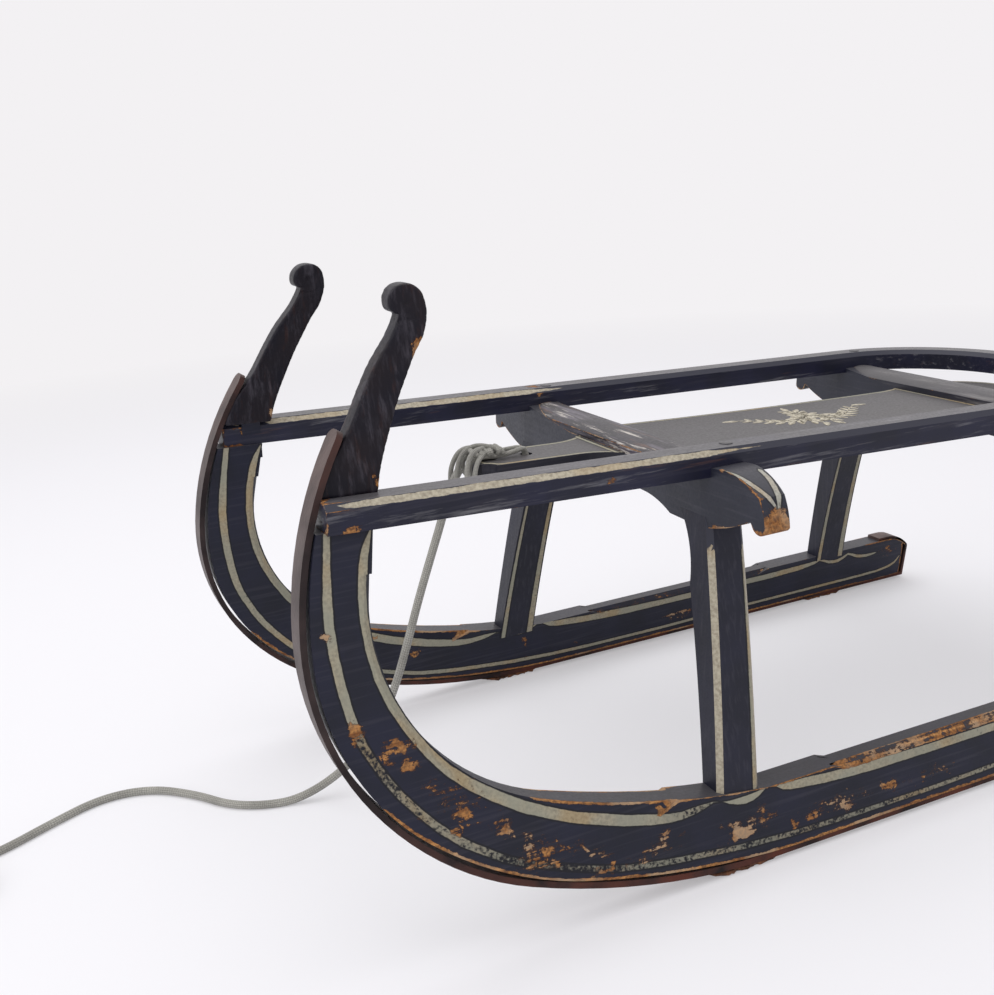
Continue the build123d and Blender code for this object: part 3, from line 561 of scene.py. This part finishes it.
# Chips on the rail's side: x, height, reach along, reach up, strength, and 1 for left or -1 for right
rail_chips = [(336, 5, 5, 4, 1.1, 1), (328, 1, 10, 3, 1.1, 1), (322, 6, 4, 5, 0.8, 1), (240, 9, 3, 2, 0.8, 1),
              (187, 8, 3, 2, 0.9, 1), (160, 8, 3, 2, 0.9, 1), (75, 15, 9, 5, 1.0, -1), (300, 14, 6, 3, 0.6, -1)]
for v in bow.verts:
    x, y, lift = v.co.x * 1000, v.co.y * 1000, v.co.z * 1000 - rail_height(v.co.x * 1000)
    v[fade] = max(0.4, (100 - x) / 18) if x < 316 else 0.4 + (x - 316) / 12
    v[rub] = 0.9 if x > 322 else 0.35
    v[chip] = max((k * math.exp(-((x - cx) / rx) ** 2 - ((lift - cz) / rz) ** 2) if y * s > 0 else 0)
                  for cx, cz, rx, rz, k, s in rail_chips)
for f in bow.faces:
    if 0.45 < f.normal.z < 0.9:
        f.material_index = 1
keep_piece(bow, "seat_rail_bow", "seat_rail", [rail_paint, lining], bevel=0.0006)

# Pegs: round oak pins driven down through the rail into each bolster
# Their ends stand 0.6 mm proud, with the end grain painted over
peg_paint = old_paint("painted_end_grain", "#1d1e2c", "#12131c", rub=0.2, chips=-0.1, dust_and_sheen=0.3)
for end, x in (("front", 66), ("rear", -258)):
    for side, sign in (("left", 1), ("right", -1)):
        pin = bmesh.new()
        top = rail_height(x) + 17.5
        bmesh.ops.create_cone(pin, cap_ends=True, segments=28, radius1=0.0046, radius2=0.0046, depth=0.006)
        rim = [e for e in pin.edges if all(v.co.z > 0.0029 for v in e.verts)]
        bmesh.ops.bevel(pin, geom=rim, offset=0.0007, offset_type="OFFSET", affect="EDGES", segments=3,
                        profile=0.5, material=-1)
        bmesh.ops.rotate(pin, matrix=Matrix.Rotation(rail_tilt, 3, "Y"), verts=pin.verts)
        bmesh.ops.translate(pin, vec=(x / 1000, sign * 0.1305, top / 1000 - 0.0024), verts=pin.verts)
        keep_piece(pin, "rail_peg_" + end + "_" + side, None, [peg_paint], bevel=0)

# Horns: hand grips carved from ash, which hook on the stems' tenons and roll forward at the tip
# Nearly black paint polished by hands, brown and red along the ridges, bare behind the bend
horn_paint = old_paint("hand_polished_black_paint", "#17161f", "#1e191e", rub=0.16, chips=-0.06, dust_and_sheen=0.02,
                       roughness=0.36, streak_axis=2, specular=0.25,
                       scuffs=((0.54, 0.78, "#43281f", 0.55), (0.52, 0.76, "#5e5a63", 0.5)))
for side in ("left", "right"):
    grip = merged_copy("horn_" + side)
    rough_cut = bpy.data.meshes.new("rough_cut")
    grip.to_mesh(rough_cut)
    grip.free()
    blank = put_object("rough_cut", rough_cut)
    # Carved and handled until no arris is left: the blank is divided finely, and its arrises are worn away
    finely = blank.modifiers.new("divide", "REMESH")
    finely.mode = "VOXEL"
    finely.voxel_size = 0.001
    wearing = blank.modifiers.new("wear", "SMOOTH")
    wearing.factor = 0.5
    wearing.iterations = 15
    bpy.context.view_layer.update()
    carved = bpy.data.meshes.new_from_object(blank.evaluated_get(bpy.context.evaluated_depsgraph_get()))
    bpy.data.objects.remove(blank)
    grip = bmesh.new()
    grip.from_mesh(carved)
    # The roll's throat is cut in under the curl, and a gouge line runs from it 15 mm back and 3.5 mm up
    throat = max((v.co for v in grip.verts if 0.3765 < v.co.z < 0.3785), key=lambda co: co.x).copy()
    way = Vector((-0.015, 0.0035))
    lowest = min(v.co.z for v in grip.verts)
    for v in grip.verts:
        off_x, off_z = v.co.x - throat.x, v.co.z - throat.z
        cut = math.exp(-(off_x / 0.007) ** 2 - (off_z / 0.005) ** 2)
        from_throat = Vector((off_x, off_z + 0.0015))
        share = min(1, max(0, from_throat.dot(way) / way.length_squared))
        gouge = math.exp(-((from_throat - way * share).length / 0.0013) ** 2) * (1 - 0.6 * share)
        v.co.y -= 0.0012 * gouge * math.copysign(1, v.normal.y) if abs(v.normal.y) > 0.5 else 0
        v.co.x -= 0.0022 * cut
        v.co.z += 0.0032 * cut
        # The wearing has drawn the foot up off the stem by 0.8 mm
        if v.co.z < lowest + 0.01:
            v.co.z -= 0.0008 * (lowest + 0.01 - v.co.z) / 0.01
    rub, chip, arris = new_layers(grip, "rub", "chip", "arris")
    for v in grip.verts:
        x, z = v.co.x * 1000, v.co.z * 1000
        bare_back = 1.25 * math.exp(-((z - 359) / 13) ** 2 - ((x - 265) / 8) ** 2) if side == "left" else 0
        foot = 0.9 * math.exp(-((z - 291) / 8) ** 2 - ((x - 303) / 5) ** 2)
        ridge = 1 - abs(v.normal.y)
        v[arris] = 3 * abs(ridge - 0.5)
        v[rub] = 0.75
        v[chip] = max(bare_back, foot)
    keep_piece(grip, "horn_grip_" + side, "horn_" + side, [horn_paint], bevel=0)

# Seat plank: a waisted board with a tongue in front, laid on the bolsters under the crossbars
# Dull navy paint, edged with a cream line that turns across at each crossbar
seat_lines = ("top_edge", "top_bar_front", "top_bar_rear")
seat_paint = old_paint("navy_oil_paint_dulled", "#23232d", "#1d1d26", lines=seat_lines, rub=0.25, chips=-0.05,
                       dust_and_sheen=0.3, roughness=0.42)
plank = merged_copy("seat_plank")
slice_across(plank, 0, 0.006)
slice_across(plank, 1, 0.006)
mark_arrises(plank)
arris = plank.verts.layers.float["arris"]
border, front_bar, rear_bar = [plank.verts.layers.float_vector.new(label) for label in seat_lines]
for v in plank.verts:
    x, y = v.co.x * 1000, v.co.y * 1000
    # No line runs round the cord's hole
    at_hole = math.hypot(x - 148.9, y) < 9
    v[border] = (v[arris] - 2.6, -30 if at_hole else 1.3, 0.15)
    v[front_bar] = (x - 91.5, 1.3, 0.2)
    v[rear_bar] = (x + 238, 1.3, 0.25)
keep_piece(plank, "seat_board", "seat_plank", [seat_paint], bevel=0.0008)

# Sprig: a plain folk sprig on the middle of the seat, five leafy stems round a flower
# Brushed in cream paint, stroke by stroke, streaked by the bristles
cream, place = start_material("brushed_cream_ornament")
stroke = add(cream, "TexNoise", {"Vector": place, "Scale": 380, "Detail": 4})[0]
tone = add(cream, "MapRange", {0: stroke, 1: 0.35, 2: 0.62})[0]
tint = add(cream, "Mix", {0: tone, 6: "#8d8472", 7: "#cdc6b2"}, data_type="RGBA")[2]
fill(cream, "Principled BSDF", {"Base Color": tint, "Roughness": 0.55})
sprig = bmesh.new()


def leaf(along, aside, turn, long, wide):
    """One brush stroke: round behind, pointed in front, laid flat."""
    made = bmesh.ops.create_circle(sprig, cap_ends=True, segments=18, radius=0.5)
    for v in made["verts"]:
        taper = 1 - 0.75 * max(0, v.co.x + 0.1)
        v.co = Vector((v.co.x * long, v.co.y * wide * taper, 0))
    bmesh.ops.rotate(sprig, matrix=Matrix.Rotation(turn, 3, "Z"), verts=made["verts"])
    bmesh.ops.translate(sprig, vec=(along, aside, 0), verts=made["verts"])


# Five stems with pairs of leaves, the same to the front and the rear: a long pair along the seat,
# a short pair to its left and one short stem to its right
# Each has its direction, its length and swing in millimetres, and its number of pairs
stems = ((0, 60, 13, 6), (math.pi, 60, -13, 6), (1.2, 30, -7, 3), (math.pi - 1.2, 30, 7, 3), (-math.pi / 2, 24, 0, 2))
for way, long, swing, count in stems:
    turned = Matrix.Rotation(way, 3, "Z")
    stem = bmesh.ops.create_grid(sprig, x_segments=26, y_segments=1, size=0.5)
    for v in stem["verts"]:
        s = v.co.x + 0.5
        v.co = turned @ Vector((long * s, swing * math.sin(s * 4.4) + v.co.y * (2.6 - 1.4 * s), 0))
    for i in range(count):
        s = 0.26 + 0.66 * i / count
        heading = way + math.atan2(swing * 4.4 * math.cos(s * 4.4), long)
        at = turned @ Vector((long * s, swing * math.sin(s * 4.4), 0))
        for hand in (1, -1):
            turn = heading + hand * 0.8
            reach = 15 - 1.2 * i
            leaf(at.x + reach * 0.5 * math.cos(turn), at.y + reach * 0.5 * math.sin(turn), turn, reach, 6.2 - 0.5 * i)
    tip = turned @ Vector((long + 4, swing * math.sin(4.4), 0))
    leaf(tip.x, tip.y, way - 0.2, 13, 5.6)
for i in range(9):
    turn = i * math.pi / 4.5
    leaf(8.6 * math.cos(turn), 8.6 * math.sin(turn), turn + math.pi, 13, 6.4)
bmesh.ops.create_circle(sprig, cap_ends=True, segments=16, radius=2.6)
ring = bmesh.ops.extrude_face_region(sprig, geom=sprig.faces[:])
bmesh.ops.translate(sprig, vec=(0, 0, 0.25), verts=[v for v in ring["geom"] if isinstance(v, bmesh.types.BMVert)])
bmesh.ops.recalc_face_normals(sprig, faces=sprig.faces)
bmesh.ops.scale(sprig, vec=(0.001, 0.001, 0.001), verts=sprig.verts)
bmesh.ops.rotate(sprig, matrix=Matrix.Rotation(rail_tilt, 3, "Y"), verts=sprig.verts)
# The plank's top lies 5 mm below the rail's underside
seat_top = rail_height(-100) - 5
bmesh.ops.translate(sprig, vec=(-0.1, 0, seat_top / 1000), verts=sprig.verts)
keep_piece(sprig, "seat_sprig", None, [cream], bevel=0)

# Crossbars: crowned battens over the plank, housed under the rails and nailed to the bolsters
# The front one has been stepped on most, to streaks of white, pink and purple grey
bar_paints = {
    "front": old_paint("trodden_paint_front_bar", "#302d38", "#1d1c26", rub=0.5, chips=0.04, dust_and_sheen=0.2, roughness=0.45,
                       streak_axis=1, scuffs=((0.52, 0.6, "#6a6470", 0.7), (0.57, 0.63, "#cfc8c0", 0.9),
                                              (0.6, 0.68, "#7d5a4c", 0.6))),
    "rear": old_paint("rubbed_paint_rear_bar", "#2d2d38", "#23242d", rub=0.3, chips=-0.05, dust_and_sheen=0.3, roughness=0.4,
                      streak_axis=1, scuffs=((0.52, 0.7, "#8b8888", 0.6),)),
}
for end in ("front", "rear"):
    batten = merged_copy("crossbar_" + end)
    slice_across(batten, 1, 0.01)
    slice_across(batten, 0, 0.005)
    mark_arrises(batten)
    [rub] = new_layers(batten, "rub")
    for v in batten.verts:
        v[rub] = 0.6
    keep_piece(batten, "crossbar_batten_" + end, "crossbar_" + end, [bar_paints[end]], bevel=0.0008)

# Tow cord: braided cotton, limp and grey with handling; tied round the tongue, led to the floor and forward
# Its unseen length is put away in a neat coil just outside the picture, and its end is knotted
braid, place = start_material("braided_cotton_grey_white")
weave = add(braid, "SeparateXYZ", {0: add(braid, "UVMap", uv_map="UVMap")[0]})
# Six strands wind each way, and a crossing repeats about every 1.9 mm along the cord
bands = []
for hand in (1, -1):
    turn = add(braid, "Math", {0: weave["Y"], 1: 6 * hand}, operation="MULTIPLY")[0]
    lead = add(braid, "Math", {0: weave["X"], 1: 540, 2: turn}, operation="MULTIPLY_ADD")[0]
    wave = add(braid, "Math", {0: lead, 1: 2 * math.pi}, operation="MULTIPLY")[0]
    bands.append(add(braid, "Math", {0: wave}, operation="SINE")[0])
crossing = add(braid, "Math", {0: bands[0], 1: bands[1]}, operation="MULTIPLY")[0]
soil = add(braid, "TexNoise", {"Vector": place, "Scale": 32, "Detail": 4})[0]
# The braid's dips, where its bump sinks, are painted darker as shade
painted_weave_shade = add(braid, "MapRange", {0: crossing, 1: -1, 2: 1})[0]
tint = add(braid, "Mix", {0: painted_weave_shade, 6: "#86857f", 7: "#bbb9b0"}, data_type="RGBA")[2]
dirty = add(braid, "MapRange", {0: soil, 1: 0.4, 2: 0.65, 3: 0, 4: 0.6})[0]
tint = add(braid, "Mix", {0: dirty, 6: tint, 7: "#807e78"}, data_type="RGBA")[2]
relief = add(braid, "Bump", {"Height": crossing, "Strength": 0.7, "Distance": 0.0005})[0]
fill(braid, "Principled BSDF", {"Base Color": tint, "Normal": relief, "Roughness": 0.9, "Sheen Weight": 0.25})
cord_thick = 0.0062


def smooth_curve(points, closed=False, radius=0.0):
    """A NURBS curve through a route; a radius gives it the cord's round section."""
    curve = bpy.data.curves.new("route", "CURVE")
    curve.dimensions = "3D"
    spline = curve.splines.new("NURBS")
    spline.points.add(len(points) - 1)
    for knot, p in zip(spline.points, points):
        knot.co = (*p, 1)
    spline.order_u = 3
    spline.use_cyclic_u = closed
    spline.use_endpoint_u = not closed
    spline.resolution_u = 8
    curve.bevel_depth = radius
    curve.bevel_resolution = 4
    curve.use_fill_caps = radius > 0
    holder = put_object("route", curve)
    bpy.context.view_layer.update()
    mesh = bpy.data.meshes.new_from_object(holder)
    bpy.data.objects.remove(holder)
    return mesh


def lay_cord(shape, points, radius, closed=False):
    """Adds a length of cord to a bmesh, with a UV map of metres along it, and gives the points that it follows."""
    run = [v.co.copy() for v in smooth_curve(points, closed).vertices]
    long = sum((b - a).length for a, b in zip(run, run[1:]))
    known = len(shape.faces)
    shape.from_mesh(smooth_curve(points, closed, radius))
    shape.faces.ensure_lookup_table()
    layer = shape.loops.layers.uv["UVMap"]
    for face in shape.faces[known:]:
        for loop in face.loops:
            loop[layer].uv = (loop[layer].uv.x * long, loop[layer].uv.y)
    return run


lay = cord_thick / 2
route = [
    (0.1969, -0.0082, 0.2525), (0.2029, -0.0127, 0.241), (0.2074, -0.0149, 0.228), (0.2134, -0.0172, 0.209),
    (0.2224, -0.0203, 0.184), (0.2329, -0.0247, 0.153), (0.2429, -0.0272, 0.1225), (0.2554, -0.0327, 0.084),
    (0.2729, -0.0382, 0.049), (0.2999, -0.0477, 0.02), (0.3319, -0.0562, lay), (0.3589, -0.0617, lay),
    (0.3829, -0.0782, lay), (0.4009, -0.1067, lay), (0.4309, -0.1362, lay), (0.4689, -0.1417, lay),
    (0.5079, -0.1222, lay), (0.5449, -0.1007, lay), (0.5699, -0.0952, lay), (0.5899, -0.0951, lay),
]
coil_middle = Vector((0.5949, -0.058, 0))
# The coil's turns: angle, distance from its middle, height; two turns side by side, and two on them
turn_marks = [(-90, 37.1, 3.1), (180, 37.1, 3.1), (235, 31.2, 3.1), (490, 30.9, 3.1), (550, 30.9, 9.3),
              (790, 30.9, 9.3), (850, 37.1, 9.3), (1140, 37.1, 9.3), (1158, 35.5, 14.0), (1172, 30.9, 16.2),
              (1186, 25.5, 13.5), (1200, 22.3, 8.0), (1235, 22.0, 6.6)]
mark_angle, mark_out, mark_up = zip(*turn_marks)
angle = -66
while angle <= 1235:
    # The curve cuts inside its control points by a fortieth, so these stand that much further out
    out = np.interp(angle, mark_angle, mark_out) / 1000 / 0.975
    up = np.interp(angle, mark_angle, mark_up) / 1000
    turn = math.radians(angle)
    route.append((coil_middle.x + out * math.cos(turn), coil_middle.y + out * math.sin(turn), up))
    angle += 24 if angle < 1120 else 14
cord_shape = bmesh.new()
cord_run = lay_cord(cord_shape, route, cord_thick / 2)
cord_piece = keep_piece(cord_shape, "tow_cord_braid", "tow_cord", [braid], bevel=0)
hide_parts("cord_coil")

# The knot on the tongue: two loops come up through the hole, and the cord is wound and tucked over the tip
knot_shape = bmesh.new()
strand = cord_thick * 0.29
for aside, rise in ((-0.0055, 0.0), (0.0035, 0.0006)):
    loop = [
        (0.1489, aside * 0.3, 0.24), (0.1489, aside * 0.3, 0.257), (0.1515, aside * 0.6, 0.2606 + rise),
        (0.16, aside * 1.3, 0.2595 + rise), (0.172, aside * 1.5, 0.259), (0.186, aside * 1.5, 0.2605),
        (0.1945, aside * 1.5, 0.259), (0.1965, aside * 1.4, 0.25), (0.19, aside * 1.2, 0.2425),
        (0.172, aside, 0.24), (0.156, aside * 0.6, 0.2385),
    ]
    lay_cord(knot_shape, loop, strand, closed=True)
# Windings round both loops, which drift forward and wander
wound = []
for i in range(62):
    turn = i / 11 * 2 * math.pi
    wide = 0.0062 + 0.0016 * math.sin(i * 1.13)
    wound.append((0.17 + 0.00036 * i + 0.0012 * math.sin(i * 0.9), wide * 1.5 * math.cos(turn) - 0.002,
                  0.2612 + wide * 0.55 * math.sin(turn) + 0.0008 * math.sin(i * 2.3)))
lay_cord(knot_shape, wound, strand)
# Bights that hang over the tip and turn up again
for hang in (
    [(0.179, -0.002, 0.264), (0.188, -0.008, 0.266), (0.196, -0.013, 0.263), (0.2015, -0.016, 0.252),
     (0.2025, -0.0175, 0.24), (0.2, -0.0188, 0.233), (0.1975, -0.019, 0.242), (0.195, -0.018, 0.252),
     (0.19, -0.014, 0.26), (0.18, -0.006, 0.264)],
    [(0.178, 0.0, 0.264), (0.187, 0.004, 0.267), (0.196, 0.008, 0.264), (0.2005, 0.0105, 0.254),
     (0.201, 0.012, 0.242), (0.199, 0.013, 0.235), (0.1965, 0.0135, 0.244), (0.1945, 0.0125, 0.255),
     (0.188, 0.008, 0.262), (0.179, 0.002, 0.264)],
    [(0.17, 0.006, 0.2625), (0.179, 0.002, 0.267), (0.19, -0.002, 0.268), (0.1985, -0.004, 0.262),
     (0.2015, -0.006, 0.25), (0.2025, -0.0075, 0.238), (0.2035, -0.008, 0.228)],
):
    lay_cord(knot_shape, hang, strand)
keep_piece(knot_shape, "tongue_knot_wound", "cord_knot", [braid], bevel=0)

# The free end's stopper: an overhand knot pulled tight
end_shape = bmesh.new()
end_at = Vector((0.5723, -0.058, 0.0068))
trefoil = []
for i in range(24):
    turn = i / 24 * 2 * math.pi * 2
    wide = 0.0034 + 0.0015 * math.cos(1.5 * turn)
    trefoil.append(end_at + Vector((wide * math.cos(turn), wide * math.sin(turn), 0.0018 * math.sin(1.5 * turn))))
lay_cord(end_shape, trefoil, cord_thick / 2 * 0.86, closed=True)
end_knot = keep_piece(end_shape, "cord_end_overhand", "cord_end_knot", [braid], bevel=0)

# Studio: a white sweep, which stays white to the camera and in reflections
# Broad soft light falls from above, and a little from the left
backdrop = bpy.data.worlds.new("white_sweep")
bpy.context.scene.world = backdrop
backdrop.use_nodes = True
ray = add(backdrop, "LightPath")
shown = add(backdrop, "Math", {0: ray["Is Camera Ray"], 1: ray["Is Glossy Ray"]}, operation="MAXIMUM")[0]
shown = add(backdrop, "Math", {0: shown, 1: ray["Is Transmission Ray"]}, operation="MAXIMUM")[0]
strength = add(backdrop, "MapRange", {0: shown, 3: 0.72, 4: 1})[0]
fill(backdrop, "Background", {"Strength": strength, "Color": "#f3f1f3"})

paper, place = start_material("white_sweep_paper")
fill(paper, "Principled BSDF", {"Base Color": "#eeeef2", "Roughness": 0.9, "Specular IOR Level": 0.1})
matt = paper.node_tree.nodes["Principled BSDF"].outputs[0]
away = add(paper, "VectorMath", {0: place}, operation="LENGTH")["Value"]
# From 0.8 m out to 2.4 m the paper passes into the sweep's even white, and shows as the backdrop does
far = add(paper, "MapRange", {0: away, 1: 0.8, 2: 2.4})[0]
# To the camera, 0.36 of it is that white everywhere, which keeps the shadow on it soft
looked_at = add(paper, "LightPath")["Is Camera Ray"]
even = add(paper, "Math", {0: looked_at, 1: 0.36}, operation="MULTIPLY")[0]
far = add(paper, "Math", {0: far, 1: even}, operation="MAXIMUM")[0]
glow = add(paper, "Emission", {"Color": "#f3f1f3", "Strength": 1})[0]
sweep = add(paper, "MixShader", {0: far, 1: matt, 2: glow})[0]
fill(paper, "Material Output", {"Surface": sweep})
ground = bmesh.new()
bmesh.ops.create_grid(ground, x_segments=1, y_segments=1, size=12)
floor_mesh = bpy.data.meshes.new("studio_floor")
ground.to_mesh(floor_mesh)
ground.free()
floor_mesh.materials.append(paper)
put_object("studio_floor", floor_mesh)

for label, at, wide, watts in (
    ("overhead_softbox", (0.2, -0.3, 2.2), 2.6, 33),
    ("left_softbox", (1.9, 0.9, 1.4), 1.6, 10),
):
    lamp = bpy.data.lights.new(label, "AREA")
    lamp.shape = "SQUARE"
    lamp.size = wide
    lamp.energy = watts
    holder = put_object(label, lamp)
    holder.location = at
    holder.rotation_euler = (Vector((0, 0, 0.1)) - Vector(at)).to_track_quat("-Z", "Y").to_euler()

# The camera stands where the photograph's stood, level to the left front of the sled
across = Vector((-0.9075, 0.4138, -0.0718))
down = Vector((0.1777, 0.2234, -0.9584))
ahead = Vector((-0.3805, -0.8825, -0.2763))
lens = bpy.data.cameras.new("camera")
camera = put_object("camera", lens)
stand = Matrix((across, -down, -ahead)).transposed().to_quaternion().normalized().to_matrix().to_4x4()
stand.translation = Vector((0.5128, 0.78522, 0.47305))
camera.matrix_world = stand
lens.sensor_width = 36
lens.lens = 44.61
lens.clip_start = 0.01
bpy.context.scene.camera = camera
bpy.context.scene.view_settings.view_transform = "Standard"
